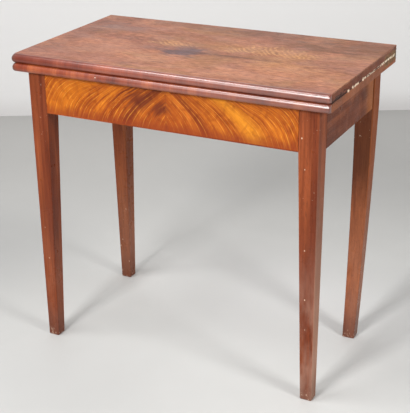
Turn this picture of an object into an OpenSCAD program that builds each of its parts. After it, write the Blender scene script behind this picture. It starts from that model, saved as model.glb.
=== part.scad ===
// Fold-over games table with two square-edged leaves, four tapered legs and one leg on a swinging rail.
// Millimetres. The origin is on the floor under the middle of the closed top, +X to the right along the
// front, +Y to the back, +Z up. The front is on the -Y side.

/* [Top] */
// Width of the top along the front
top_w = 800; // [740:10:900]
// Depth of the folded top from front to back
top_d = 450; // [420:10:520]
// Thickness of each leaf
leaf_t = 21; // [19:0.5:26]
// Gap between the two leaves, folded or open
fold_gap = 0.4; // [0.2:0.1:0.8]
// Radius of the rounded front mouldings, above and below a short flat
nose_r = 10; // [6:0.5:10]
// Width of the moulding glued along the front of each leaf
moulding_w = 12; // [10:1:18]
// Plan radius of the two front corners of a leaf, half way up the nose
corner_r = 2; // [1:0.5:6]
// Direction in which the nose is worked round a front corner, in degrees from straight ahead
corner_turn = 60; // [45:5:65]
// Plan radius of the two back corners of a leaf
back_corner_r = 1.5; // [0.5:0.5:2]
// Radius of the eased edges round a leaf
arris_r = 1; // [0.5:0.1:1.5]
// Thickness of the figured veneer on the upper leaf
veneer_t = 0.8; // [0.5:0.1:1.2]

/* [Frame] */
// Height of the table over the folded top
table_h = 760; // [700:5:800]
// How far the top stands out past the legs at each side
side_overhang = 29; // [20:1:45]
// How far the top stands out past the front legs
front_overhang = 22; // [12:1:40]
// How far the top stands out past the fixed rear leg
back_overhang = 27; // [18:1:40]
// Height of the rails under the top
apron_h = 100; // [85:1:120]
// Thickness of the front and side rails
rail_t = 24; // [20:1:28]
// Thickness of the flame veneer on the front rail
apron_veneer_t = 1.2; // [0.8:0.1:2]
// Thickness of the strip under the front rail
strip_t = 3; // [2:0.5:5]
// Thickness of the inner back rail
inner_rail_t = 20; // [18:1:24]
// Depth of the housings that hold the ends of the inner back rail
housing_depth = 8; // [5:1:10]
// Thickness of every tenon
tenon_t = 8; // [6:1:10]
// Length of every tenon
tenon_l = 25; // [18:1:28]
// Shoulder left above and below each tenon
tenon_shoulder = 10; // [6:1:16]
// Clearance round tenons, tongues and screws in their holes
joint_fit = 0.1; // [0.05:0.05:0.2]

/* [Legs] */
// Side of the square leg at the rails
leg_top = 47; // [42:1:54]
// Side of a fixed leg at the floor
leg_foot = 29; // [24:1:36]
// Side of the swing leg at the floor
swing_leg_foot = 31; // [24:1:36]
// Radius of the worn edges down each leg
leg_arris_r = 2; // [1:0.5:4]
// Chamfer round the bottom of each foot
foot_chamfer = 1.5; // [0.5:0.5:3]
// How far the foot of the swing leg is bowed forward of its top
swing_foot_forward = 65; // [0:1:80]
// How far the foot of the swing leg is bowed in from its top
swing_foot_inward = 9; // [0:1:15]
// Share of that bow that is a straight slope and not a curve
swing_slope_share = 0.4; // [0:0.1:1]
// Space between the top of the swing leg and the leaf over it
swing_leg_drop = 0.4; // [0.3:0.1:1]

/* [Swing rail] */
// Distance of the knuckle pin to the right of the middle of the table
pin_x = 0; // [-60:5:60]
// Radius of the knuckle pin
pin_r = 3; // [2.5:0.25:4]
// Thickness of the swing rail and of the fixed rail beside it
swing_rail_t = 24; // [20:1:26]
// Number of wooden knuckles on the pin
knuckles = 5; // [3:2:7]
// Gap between neighbouring knuckles
knuckle_gap = 0.4; // [0.2:0.1:0.8]
// Running clearance between the pin and the turning knuckles
pin_fit = 0.05; // [0.02:0.01:0.08]
// Gap between the closed swing rail and the inner back rail
gate_gap = 0.3; // [0.3:0.1:1]
// Angle that the swing leg stands open, in degrees
gate_ajar = 1.9; // [0:0.1:5]
// Full swing of the leg from closed, in degrees
gate_swing = 90; // [80:5:90]

/* [Hinges] */
// Length of each brass hinge plate
plate_l = 90; // [70:5:110]
// Width of each brass hinge plate
plate_w = 13; // [12:0.5:15]
// Thickness of each brass hinge plate
plate_t = 4; // [3.5:0.5:5]
// Distance of a hinge pin from the back edge and from the meeting face of its leaf
pin_inset = 5; // [4.6:0.1:5.4]
// Radius of a hinge pin
hinge_pin_r = 1.5; // [1.25:0.05:1.75]
// Radius of the round ends of a hinge link
link_r = 4; // [3.5:0.1:4.2]
// Thickness of a hinge link
link_t = 1.9; // [1.5:0.1:2.2]
// Side clearance of a hinge link in its notch
link_gap = 0.1; // [0.05:0.05:0.2]
// Clearance round the end of a hinge link
link_sweep_gap = 0.4; // [0.3:0.1:0.6]
// Number of screws in each hinge plate
plate_screws = 3; // [2:1:3]
// Distance between the screws of a hinge plate
plate_screw_pitch = 25; // [18:1:26]
// Distance of the first plate screw from the back edge
plate_screw_start = 22; // [18:1:26]
// Length of a hinge screw
hinge_screw_l = 20; // [14:1:26]
// Radius of a hinge screw's shank
hinge_screw_r = 1.75; // [1.5:0.05:2]
// Radius of a hinge screw's countersunk head
hinge_head_r = 3.6; // [3.2:0.1:4]

/* [Fixings] */
// Radius of the shank of the screws in the rails
rail_screw_r = 2.2; // [2:0.1:2.6]
// Radius of the heads of the screws in the rails
rail_head_r = 4.2; // [4:0.1:5]
// Length of the slanted screws that hold the lower leaf down
leaf_screw_l = 46; // [42:1:50]
// How deep the slanted screws reach into the lower leaf
leaf_screw_bite = 14; // [10:1:16]
// Slant of those screws from upright, in degrees
leaf_screw_tilt = 18; // [12:1:20]
// Radius of the gouged pocket under each slanted screw
pocket_r = 6; // [5.5:0.5:7]
// Distance of the slanted screws in the front and back rails from the middle of the table
leaf_screw_x = 140; // [110:5:160]
// Distance of the slanted screws in the side rails in front of the middle of the table
leaf_screw_y = 60; // [40:5:80]
// Length of the screws through the inner back rail
back_screw_l = 38; // [30:1:40]
// Distance of the first pair of those screws from the knuckle pin
back_screw_inset = 80; // [40:5:110]
// Distance of their second pair from the rear left leg
back_screw_margin = 25; // [15:5:35]
// Side of the triangular glue blocks under the lower leaf
block_side = 24; // [16:1:30]
// Length of a glue block
block_l = 70; // [40:5:90]
// Distance between the glue blocks along a rail
block_pitch = 235; // [200:5:250]
// Distance of the glue blocks on the side rails behind the middle of the table
block_y = 15; // [10:5:30]
// Depth of the slot in a screw head
slot_depth = 0.8; // [0.5:0.1:1]
// Width of the slot in a screw head
slot_w = 0.8; // [0.5:0.1:1]

/* [Hidden] */
$fn = 48;

mahogany = [0.42, 0.17, 0.09];
faded_mahogany = [0.50, 0.27, 0.19];
flame = [0.80, 0.40, 0.14];
secondary_wood = [0.72, 0.55, 0.36];
brass_colour = [0.62, 0.50, 0.26];
steel_colour = [0.42, 0.41, 0.40];

// Lengths used only to cut well clear of a surface
past = 5;
far = 2 * (top_w + table_h);

// Plan of the frame
frame_x = top_w / 2 - side_overhang;
frame_front = -top_d / 2 + front_overhang;
frame_back = top_d / 2 - back_overhang;
leg_inner_x = frame_x - leg_top;
front_leg_back = frame_front + leg_top;
rear_leg_front = frame_back - leg_top;
rail_inner_x = frame_x - rail_t;
rail_inner_y = frame_front + rail_t;

// Heights
leaf_low = table_h - 2 * leaf_t - fold_gap;
lower_leaf_top = leaf_low + leaf_t;
upper_leaf_low = lower_leaf_top + fold_gap;
seam_z = (lower_leaf_top + upper_leaf_low) / 2;
apron_low = leaf_low - apron_h;

// Knuckle joint of the swing rail
knuckle_r = swing_rail_t / 2;
cove_r = knuckle_r + knuckle_gap;
knuckle_h = apron_h / knuckles;
swing_top_z = leaf_low - swing_leg_drop;
pin_y = rear_leg_front + gate_gap + knuckle_r;

// Hinge pins: the lower one stays with the lower leaf and the upper one with the upper leaf
hinge_y = top_d / 2 - pin_inset;
lower_pin_z = lower_leaf_top - pin_inset;
upper_pin_z = upper_leaf_low + pin_inset;
link_pitch = upper_pin_z - lower_pin_z;
end_x = top_w / 2;
// A nose keeps a short flat between its two rounds
nose_flat = 0.5;
nose_round = min(nose_r, (leaf_t - nose_flat) / 2);
// Height of the middle of a lower hinge plate
plate_z = lower_leaf_top - plate_w / 2;
// Turn of the slot in the first screw of a plate, and how much more the next one is turned
slot_turn = 17;
slot_turn_step = 64;

// Corner waste: what a round of radius r leaves of a square corner at the origin, body towards +X +Y
module corner_waste(r) {
    difference() {
        translate([-past, -past])
            square(r + past);
        translate([r, r])
            circle(r);
        translate([r, r])
            square(2 * r);
    }
}

// Rectangle from the origin with its own radius at each corner: low left, low right, top right, top left
module rounded_panel(w, h, radii) {
    difference() {
        square([w, h]);
        corner_waste(radii[0]);
        translate([w, 0])
            rotate(90)
                corner_waste(radii[1]);
        translate([w, h])
            rotate(180)
                corner_waste(radii[2]);
        translate([0, h])
            rotate(270)
                corner_waste(radii[3]);
    }
}

// Puts a profile drawn in Y and Z along X, from x0 over length l
module along_x(x0, l) {
    translate([x0, 0, 0])
        rotate([90, 0, 90])
            linear_extrude(l)
                children();
}

// Puts a profile drawn in X and Z along Y, from y0 over length l
module along_y(y0, l) {
    translate([0, y0 + l, 0])
        rotate([90, 0, 0])
            linear_extrude(l)
                children();
}

// All that lies inside the nose as it is worked round a front corner. side is 1 at the right, -1 at the left
module corner_nose(z0, side) {
    translate([side * (end_x - corner_r), -top_d / 2 + corner_r, z0])
        rotate(-90 + side * corner_turn)
            along_y(-far / 2, far)
                translate([corner_r - far, 0])
                    rounded_panel(far, leaf_t, [arris_r, nose_round, nose_round, arris_r]);
}

// Whole leaf with its round nose and eased edges. hinge_low says if the meeting face is underneath
module leaf_form(z0, hinge_low) {
    back_low_r = hinge_low ? pin_inset : arris_r;
    back_top_r = hinge_low ? arris_r : pin_inset;
    intersection() {
        along_x(-top_w / 2, top_w)
            translate([-top_d / 2, z0])
                rounded_panel(top_d, leaf_t, [nose_round, back_low_r, back_top_r, nose_round]);
        along_y(-top_d / 2, top_d)
            translate([-top_w / 2, z0])
                rounded_panel(top_w, leaf_t, [arris_r, arris_r, arris_r, arris_r]);
        translate([-top_w / 2, -top_d / 2, z0])
            linear_extrude(leaf_t)
                rounded_panel(top_w, top_d, [corner_r, corner_r, back_corner_r, back_corner_r]);
        corner_nose(z0, 1);
        corner_nose(z0, -1);
    }
}

// Everything in front of the glue line of the moulding, or everything behind it
module front_part() {
    translate([-far / 2, -far - top_d / 2 + moulding_w, 0])
        cube(far);
}

module back_part() {
    translate([-far / 2, -top_d / 2 + moulding_w, 0])
        cube(far);
}

// Outline of a lower hinge plate in Y and Z, round in front. The upper one is its mirror image
module plate_outline() {
    straight_l = plate_l - plate_w / 2;
    translate([top_d / 2 - straight_l, plate_z])
        circle(plate_w / 2);
    difference() {
        translate([top_d / 2 - straight_l, lower_leaf_top - plate_w])
            square([straight_l, plate_w]);
        translate([top_d / 2, lower_leaf_top - plate_w])
            rotate(90)
                corner_waste(arris_r);
        translate([top_d / 2, lower_leaf_top])
            rotate(180)
                corner_waste(pin_inset);
    }
}

// Outline of a lower hinge plate's housing: open at the back edge and at the meeting face
module plate_housing_outline() {
    translate([top_d / 2 - plate_l + plate_w / 2, plate_z])
        circle(plate_w / 2 + joint_fit);
    translate([top_d / 2 - plate_l + plate_w / 2, lower_leaf_top - plate_w - joint_fit])
        square([plate_l, plate_w + 2 * joint_fit]);
}

// Turns a lower hinge piece over the seam into the upper one
module over_the_seam() {
    translate([0, 0, 2 * seam_z])
        mirror([0, 0, 1])
            children();
}

function plate_screw_y(i) = top_d / 2 - plate_screw_start - i * plate_screw_pitch;

// Housing for a right lower hinge plate, with its screw and pin holes
module plate_cutter() {
    along_x(end_x - plate_t - joint_fit, plate_t + past)
        plate_housing_outline();
    for (i = [0 : plate_screws - 1])
        translate([end_x - hinge_screw_l - joint_fit, plate_screw_y(i), plate_z])
            rotate([0, 90, 0])
                cylinder(r = hinge_screw_r + joint_fit, h = hinge_screw_l);
    translate([end_x - 2 * plate_t - joint_fit, hinge_y, lower_pin_z])
        rotate([0, 90, 0])
            cylinder(r = hinge_pin_r + joint_fit, h = plate_t + past);
}

// Right lower hinge plate: a bar let into the end of the leaf, notched for the link at the pin
module plate_form() {
    difference() {
        along_x(end_x - plate_t, plate_t)
            plate_outline();
        translate([end_x - link_t - link_gap, hinge_y - link_r - link_sweep_gap,
                   lower_pin_z - link_r - link_sweep_gap])
            cube(2 * plate_w);
        for (i = [0 : plate_screws - 1])
            translate([end_x, plate_screw_y(i), plate_z])
                rotate([0, 90, 0])
                    screw_hole(hinge_screw_l, hinge_screw_r, hinge_head_r, past);
        translate([end_x - past - plate_t, hinge_y, lower_pin_z])
            rotate([0, 90, 0])
                cylinder(r = hinge_pin_r + pin_fit / 2, h = plate_t + 2 * past);
    }
}

// Screw with its head flush at the origin and its tip down -Z
module countersunk_screw(l, shank_r, head_r) {
    head_h = head_r - shank_r;
    translate([0, 0, -head_h])
        cylinder(r1 = shank_r, r2 = head_r, h = head_h);
    translate([0, 0, -l])
        cylinder(r = shank_r, h = l - head_h);
}

// Hole for such a screw. Its cone runs on over the head by the height over
module screw_hole(l, shank_r, head_r, over) {
    head_h = head_r - shank_r;
    translate([0, 0, -head_h])
        cylinder(r1 = shank_r + joint_fit, r2 = head_r + joint_fit + over, h = head_h + over);
    translate([0, 0, -l - joint_fit])
        cylinder(r = shank_r + joint_fit, h = l + joint_fit);
}

module slotted_screw(l, shank_r, head_r) {
    difference() {
        countersunk_screw(l, shank_r, head_r);
        translate([-slot_w / 2, -head_r - past, -slot_depth])
            cube([slot_w, 2 * head_r + 2 * past, slot_depth + past]);
    }
}

module plate_screw_set() {
    for (i = [0 : plate_screws - 1])
        translate([end_x, plate_screw_y(i), plate_z])
            rotate([0, 90, 0])
                rotate(slot_turn + slot_turn_step * i)
                    slotted_screw(hinge_screw_l - joint_fit, hinge_screw_r, hinge_head_r);
}

module hinge_pin_form() {
    translate([end_x - 2 * plate_t, hinge_y, lower_pin_z])
        rotate([0, 90, 0])
            cylinder(r = hinge_pin_r, h = 2 * plate_t);
}

module both_ends() {
    children();
    mirror([1, 0, 0])
        children();
}

// Right hinge link, standing upright across the seam
module link_form() {
    along_x(end_x - link_t, link_t)
        difference() {
            union() {
                translate([hinge_y, lower_pin_z])
                    circle(link_r);
                translate([hinge_y, upper_pin_z])
                    circle(link_r);
                translate([hinge_y - link_r, lower_pin_z])
                    square([2 * link_r, link_pitch]);
            }
            translate([hinge_y, lower_pin_z])
                circle(hinge_pin_r + pin_fit);
            translate([hinge_y, upper_pin_z])
                circle(hinge_pin_r + pin_fit);
        }
}

// Rings down the bowed part of the swing leg
bow_steps = 12;

// One ring of a leg in plan: a square of side w with round corners, outer corner at the origin
arc_steps = 4;
ring_size = 4 * (arc_steps + 1);
function ring_points(w, r, at) = [
    for (c = [0 : 3], j = [0 : arc_steps])
        let (
            a = 180 + 90 * c + 90 * j / arc_steps,
            mx = (c == 0 || c == 3) ? r : w - r,
            my = (c < 2) ? r : w - r
        )
        [at[0] + mx + r * cos(a), at[1] + my + r * sin(a), at[2]]
];

// Joins rings from the floor up into one closed leg
module ring_loft(rings) {
    last = len(rings) - 1;
    points = [for (ring = rings) each ring];
    sides = [
        for (i = [0 : last - 1], k = [0 : ring_size - 1])
            let (
                a = i * ring_size + k,
                b = i * ring_size + (k + 1) % ring_size
            )
            each [[a, a + ring_size, b + ring_size], [a, b + ring_size, b]]
    ];
    floor_cap = [for (k = [0 : ring_size - 1]) k];
    top_cap = [for (k = [ring_size - 1 : -1 : 0]) last * ring_size + k];
    polyhedron(points = points, faces = concat(sides, [floor_cap, top_cap]));
}

function taper_w(u, foot) = leg_top + (foot - leg_top) * u;
function bow(u) = swing_slope_share * u + (1 - swing_slope_share) * u * u;

// Leg with its outer corner at the origin, body towards +X +Y. It is square down to the underside of the
// rails and tapers below on its two inner faces to the side foot at the floor. shift moves the foot, by
// the curve of bow()
module leg_form(top_z, foot, shift, steps) {
    tapered = [
        for (i = [0 : steps])
            let (
                z = foot_chamfer + (apron_low - foot_chamfer) * i / steps,
                u = 1 - z / apron_low
            )
            ring_points(taper_w(u, foot), leg_arris_r, [shift[0] * u, shift[1] * bow(u), z])
    ];
    foot_side = foot - 2 * foot_chamfer;
    foot_ring = ring_points(foot_side, leg_arris_r, [shift[0] + foot_chamfer, shift[1] + foot_chamfer, 0]);
    top_ring = ring_points(leg_top, leg_arris_r, [0, 0, top_z]);
    ring_loft(concat([foot_ring], tapered, [top_ring]));
}

// Tenon pointing to -Y from the origin, centred in X, over the height of a rail. g grows it on each side
module tenon(g) {
    translate([-tenon_t / 2 - g, -tenon_l - g, apron_low + tenon_shoulder - g])
        cube([tenon_t + 2 * g, tenon_l + g + past, apron_h - 2 * tenon_shoulder + 2 * g]);
}

// The four joints of the front rail and the side rails with the front legs, right side
module front_rail_tenon(g) {
    translate([leg_inner_x, frame_front + rail_t / 2, 0])
        rotate(90)
            tenon(g);
}

module side_rail_front_tenon(g) {
    translate([frame_x - rail_t / 2, front_leg_back, 0])
        tenon(g);
}

module side_rail_rear_tenon(g) {
    translate([frame_x - rail_t / 2, rear_leg_front, 0])
        rotate(180)
            tenon(g);
}

module fixed_knuckle_rail_tenon(g) {
    translate([-leg_inner_x, pin_y, 0])
        rotate(270)
            tenon(g);
}

module swing_rail_tenon(g) {
    translate([leg_inner_x, pin_y, 0])
        rotate(90)
            tenon(g);
}

// Tongue at the right end of the inner back rail, stopped above the lower edge
module inner_rail_tongue(g) {
    tongue_t = inner_rail_t / 2;
    translate([rail_inner_x - past, rear_leg_front - inner_rail_t / 2 - tongue_t / 2 - g,
               apron_low + tenon_shoulder - g])
        cube([housing_depth + past + g, tongue_t + 2 * g, apron_h - tenon_shoulder + past]);
}

// Slanted screws under the lower leaf: middle of a rail in plan, and the turn that faces its inner side
leaf_screw_places = [
    [leaf_screw_x, frame_front + rail_t / 2, 0],
    [-leaf_screw_x, frame_front + rail_t / 2, 0],
    [frame_x - rail_t / 2, -leaf_screw_y, 90],
    [-frame_x + rail_t / 2, -leaf_screw_y, -90],
    [leaf_screw_x, rear_leg_front - inner_rail_t / 2, 180],
    [-leaf_screw_x, rear_leg_front - inner_rail_t / 2, 180]
];
leaf_screw_head = leaf_screw_l - leaf_screw_bite;

module at_leaf_screws() {
    for (place = leaf_screw_places)
        translate([place[0], place[1], leaf_low])
            rotate([0, 0, place[2]])
                rotate([leaf_screw_tilt, 0, 0])
                    children();
}

module leaf_screw_cutter() {
    at_leaf_screws()
        translate([0, 0, -leaf_screw_head])
            rotate([180, 0, 0]) {
                screw_hole(leaf_screw_l, rail_screw_r, rail_head_r, (pocket_r - rail_head_r) / 2);
                cylinder(r = pocket_r, h = apron_h);
            }
}

// Screws from the inner back rail into the fixed knuckle rail
back_screw_z = [apron_low + apron_h / 4, apron_low + 3 * apron_h / 4];
back_screw_x = [pin_x - back_screw_inset, -leg_inner_x + back_screw_margin];

module at_back_screws() {
    for (x = back_screw_x, z = back_screw_z)
        translate([x, rear_leg_front - inner_rail_t, z])
            rotate([90, 0, 0])
                children();
}

module back_screw_cutter() {
    at_back_screws()
        screw_hole(back_screw_l, rail_screw_r, rail_head_r, past);
}

// The slope of a rail's back face beside the knuckles: its height at x, and where it reaches the face
function slope_y(x) = (-x - knuckle_gap) / tan(gate_swing / 2);
slope_x = -knuckle_r * tan(gate_swing / 2) - knuckle_gap;

// Plan of a rail with a knuckle at the origin and the rail towards -X over length l, its inner face at
// y = inner. rounded is true where the rail carries its own knuckle and false where it is coved for the
// other rail's. The face towards +Y slopes back, so that the two slopes meet where the leg stops
module knuckle_plan(l, inner, rounded) {
    lip = -knuckle_r / 2;
    if (rounded) {
        circle(knuckle_r);
        polygon([[-l, inner], [lip, inner], [0, -knuckle_r], [0, slope_y(0)], [slope_x, knuckle_r],
                 [-l, knuckle_r]]);
    } else {
        difference() {
            polygon([[-l, inner], [lip, inner], [lip, slope_y(lip)], [slope_x, knuckle_r], [-l, knuckle_r]]);
            circle(cove_r);
        }
    }
}

// Rail with its own knuckles on the even rows from the bottom if own is 0, or on the odd ones if it is 1
module knuckled_rail(l, inner, top_z, own) {
    for (k = [0 : knuckles - 1]) {
        low = apron_low + k * knuckle_h;
        high = min(low + knuckle_h, top_z);
        rounded = k % 2 == own;
        trim_low = (rounded && k > 0) ? knuckle_gap / 2 : 0;
        trim_top = (rounded && k < knuckles - 1) ? knuckle_gap / 2 : 0;
        translate([0, 0, low + trim_low])
            linear_extrude(high - low - trim_low - trim_top)
                knuckle_plan(l, inner, rounded);
    }
    translate([-l, inner, apron_low])
        cube([l - 2 * knuckle_r, knuckle_r - inner, top_z - apron_low]);
}

// Turns the swing rail and its leg about the knuckle pin to where they stand in the photograph
module stand_ajar() {
    translate([pin_x, pin_y, 0])
        rotate(gate_ajar)
            translate([-pin_x, -pin_y, 0])
                children();
}

module front_rail() {
    color(secondary_wood)
        difference() {
            union() {
                translate([-leg_inner_x, frame_front + apron_veneer_t, apron_low + strip_t])
                    cube([2 * leg_inner_x, rail_t - apron_veneer_t, apron_h - strip_t]);
                both_ends()
                    front_rail_tenon(0);
            }
            leaf_screw_cutter();
        }
}

module front_veneer() {
    color(flame)
        translate([-leg_inner_x, frame_front, apron_low + strip_t])
            cube([2 * leg_inner_x, apron_veneer_t, apron_h - strip_t]);
}

module front_edge_strip() {
    color(mahogany)
        translate([-leg_inner_x, frame_front, apron_low])
            cube([2 * leg_inner_x, rail_t, strip_t]);
}

// Side rail on the right, without its rear joint
module side_rail_form() {
    difference() {
        union() {
            translate([rail_inner_x, front_leg_back, apron_low])
                cube([rail_t, rear_leg_front - front_leg_back, apron_h]);
            side_rail_front_tenon(0);
        }
        inner_rail_tongue(joint_fit);
        leaf_screw_cutter();
    }
}

module left_side_rail() {
    color(mahogany)
        mirror([1, 0, 0]) {
            side_rail_form();
            side_rail_rear_tenon(0);
        }
}

module right_side_rail() {
    color(mahogany)
        side_rail_form();
}

module inner_back_rail() {
    color(secondary_wood)
        difference() {
            union() {
                translate([-rail_inner_x, rear_leg_front - inner_rail_t, apron_low])
                    cube([2 * rail_inner_x, inner_rail_t, apron_h]);
                intersection() {
                    both_ends()
                        inner_rail_tongue(0);
                    translate([-far / 2, -far / 2, leaf_low - far])
                        cube(far);
                }
            }
            leaf_screw_cutter();
            back_screw_cutter();
        }
}

module fixed_knuckle_rail() {
    color(secondary_wood)
        difference() {
            union() {
                translate([pin_x, pin_y, 0])
                    knuckled_rail(leg_inner_x + pin_x, -knuckle_r - gate_gap, leaf_low, 0);
                fixed_knuckle_rail_tenon(0);
            }
            back_screw_cutter();
            translate([pin_x, pin_y, apron_low - past])
                cylinder(r = pin_r + pin_fit / 2, h = apron_h + 2 * past);
        }
}

module front_leg_form() {
    difference() {
        translate([frame_x, frame_front, 0])
            rotate(90)
                leg_form(leaf_low, leg_foot, [0, 0], 1);
        front_rail_tenon(joint_fit);
        side_rail_front_tenon(joint_fit);
    }
}

module front_left_leg() {
    color(mahogany)
        mirror([1, 0, 0])
            front_leg_form();
}

module front_right_leg() {
    color(mahogany)
        front_leg_form();
}

module rear_left_leg() {
    color(mahogany)
        difference() {
            translate([-frame_x, frame_back, 0])
                rotate(270)
                    leg_form(leaf_low, leg_foot, [0, 0], 1);
            mirror([1, 0, 0])
                side_rail_rear_tenon(joint_fit);
            fixed_knuckle_rail_tenon(joint_fit);
        }
}

module lower_leaf() {
    color(mahogany)
        difference() {
            intersection() {
                leaf_form(leaf_low, false);
                back_part();
            }
            both_ends()
                plate_cutter();
            leaf_screw_cutter();
        }
}

module lower_moulding() {
    color(mahogany)
        intersection() {
            leaf_form(leaf_low, false);
            front_part();
        }
}

module leaf_screws() {
    color(steel_colour)
        at_leaf_screws()
            translate([0, 0, -leaf_screw_head])
                rotate([180, 0, 0])
                    slotted_screw(leaf_screw_l, rail_screw_r, rail_head_r);
}

module back_rail_screws() {
    color(steel_colour)
        at_back_screws()
            slotted_screw(back_screw_l, rail_screw_r, rail_head_r);
}

// Triangular block along X in the corner under the leaf, its square corner at the origin
module glue_block() {
    translate([-block_l / 2, 0, 0])
        rotate([90, 0, 90])
            linear_extrude(block_l)
                polygon([[0, 0], [block_side, 0], [0, -block_side]]);
}

module glue_blocks() {
    color(secondary_wood) {
        for (i = [-1 : 1]) {
            translate([i * block_pitch, rail_inner_y, leaf_low])
                glue_block();
            translate([i * block_pitch, rear_leg_front - inner_rail_t, leaf_low])
                rotate(180)
                    glue_block();
        }
        for (side = [-1, 1])
            translate([side * rail_inner_x, block_y, leaf_low])
                rotate(side * 90)
                    glue_block();
    }
}

module knuckle_pin() {
    color(steel_colour)
        translate([pin_x, pin_y, apron_low])
            cylinder(r = pin_r, h = apron_h);
}

module right_lower_hinge_plate() {
    color(brass_colour)
        plate_form();
}

module left_lower_hinge_plate() {
    color(brass_colour)
        mirror([1, 0, 0])
            plate_form();
}

module lower_hinge_screws() {
    color(brass_colour)
        both_ends()
            plate_screw_set();
}

module lower_hinge_pins() {
    color(steel_colour)
        both_ends()
            hinge_pin_form();
}

module swing_rail() {
    color(secondary_wood)
        stand_ajar()
            difference() {
                union() {
                    translate([pin_x, pin_y, 0])
                        mirror([1, 0, 0])
                            knuckled_rail(leg_inner_x - pin_x, -knuckle_r, swing_top_z, 1);
                    swing_rail_tenon(0);
                }
                translate([pin_x, pin_y, apron_low - past])
                    cylinder(r = pin_r + pin_fit, h = apron_h + 2 * past);
            }
}

module swing_leg() {
    color(mahogany)
        stand_ajar()
            difference() {
                translate([frame_x, frame_back + gate_gap, 0])
                    rotate(180)
                        leg_form(
                            swing_top_z, swing_leg_foot, [swing_foot_inward, swing_foot_forward], bow_steps
                        );
                swing_rail_tenon(joint_fit);
            }
}

module right_hinge_link() {
    color(brass_colour)
        link_form();
}

module left_hinge_link() {
    color(brass_colour)
        mirror([1, 0, 0])
            link_form();
}

module upper_leaf() {
    color(mahogany)
        difference() {
            intersection() {
                leaf_form(upper_leaf_low, true);
                back_part();
                translate([-far / 2, -far / 2, table_h - veneer_t - far])
                    cube(far);
            }
            over_the_seam()
                both_ends()
                    plate_cutter();
        }
}

module upper_veneer() {
    color(faded_mahogany)
        intersection() {
            leaf_form(upper_leaf_low, true);
            back_part();
            translate([-far / 2, -far / 2, table_h - veneer_t])
                cube(far);
        }
}

module upper_moulding() {
    color(mahogany)
        intersection() {
            leaf_form(upper_leaf_low, true);
            front_part();
        }
}

module right_upper_hinge_plate() {
    color(brass_colour)
        over_the_seam()
            plate_form();
}

module left_upper_hinge_plate() {
    color(brass_colour)
        over_the_seam()
            mirror([1, 0, 0])
                plate_form();
}

module upper_hinge_screws() {
    color(brass_colour)
        over_the_seam()
            both_ends()
                plate_screw_set();
}

module upper_hinge_pins() {
    color(steel_colour)
        over_the_seam()
            both_ends()
                hinge_pin_form();
}

front_rail();
front_veneer();
front_edge_strip();
left_side_rail();
right_side_rail();
inner_back_rail();
fixed_knuckle_rail();
front_left_leg();
front_right_leg();
rear_left_leg();
lower_leaf();
lower_moulding();
leaf_screws();
back_rail_screws();
glue_blocks();
knuckle_pin();
left_lower_hinge_plate();
right_lower_hinge_plate();
lower_hinge_screws();
lower_hinge_pins();
swing_rail();
swing_leg();
left_hinge_link();
right_hinge_link();
upper_leaf();
upper_veneer();
upper_moulding();
left_upper_hinge_plate();
right_upper_hinge_plate();
upper_hinge_screws();
upper_hinge_pins();
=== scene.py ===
# %% [markdown]
# # A fold-over games table
# The table is an old mahogany one: two hinged leaves lie folded on a frame of rails, and four tapered
# legs carry it, one of which swings out on a wooden knuckle joint. All of its shapes come from the
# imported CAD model, so this lesson is about the looks: camera, light, and one finish for each kind of
# wood and metal, all made of nodes.

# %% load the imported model
import math
import bmesh
import bpy
from mathutils import Matrix, Vector

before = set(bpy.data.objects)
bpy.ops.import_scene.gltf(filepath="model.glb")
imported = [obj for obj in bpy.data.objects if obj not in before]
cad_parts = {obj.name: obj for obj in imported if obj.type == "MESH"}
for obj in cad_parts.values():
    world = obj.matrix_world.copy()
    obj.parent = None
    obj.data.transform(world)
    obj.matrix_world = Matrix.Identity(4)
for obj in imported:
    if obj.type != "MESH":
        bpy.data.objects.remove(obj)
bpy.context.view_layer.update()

# %% [markdown]
# ## The camera
# A photograph is matched by placing the camera as the photographer did. It could be moved about in the
# viewport until the outlines agree. Here its place, its three turns (in radians) and its lens were
# worked out from the corners of the table top, the rails and the feet, which is closer. The matrix is
# built from the viewing direction, so no empties or constraints are needed.

# %% camera
CAMERA_PLACE = Vector((1.11402, -2.17749, 1.40055))
CAMERA_YAW, CAMERA_PITCH, CAMERA_ROLL = 0.47524, -0.40433, -0.01516
LENS_MM = 91.686

ahead = Vector((
    -math.sin(CAMERA_YAW) * math.cos(CAMERA_PITCH),
    math.cos(CAMERA_YAW) * math.cos(CAMERA_PITCH),
    math.sin(CAMERA_PITCH),
))
level_right = Vector((math.cos(CAMERA_YAW), math.sin(CAMERA_YAW), 0))
level_up = level_right.cross(ahead)
right = math.cos(CAMERA_ROLL) * level_right + math.sin(CAMERA_ROLL) * level_up
up = math.cos(CAMERA_ROLL) * level_up - math.sin(CAMERA_ROLL) * level_right

camera = bpy.data.objects.new("camera", bpy.data.cameras.new("camera"))
camera.data.lens = LENS_MM
camera.matrix_world = Matrix.Translation(CAMERA_PLACE) @ Matrix((right, up, -ahead)).transposed().to_4x4()
bpy.context.scene.collection.objects.link(camera)
bpy.context.scene.camera = camera
bpy.context.scene.view_settings.view_transform = "Standard"
print("camera at", tuple(round(v, 3) for v in camera.matrix_world.translation))

# %% [markdown]
# ## A short way to write node trees
# Every finish below is a Principled shader whose colour, roughness and bump come from noise on the
# piece's own Object coordinates, in metres. The CAD pieces all have their origin at the middle of the
# floor, so a place in the pattern is a place on the table, and the pattern moves with the piece. The
# nodes could be wired by hand in the Shader editor. With a short word for each kind of node, one
# function finishes any number of boards, and a finish reads like a recipe.

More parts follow.
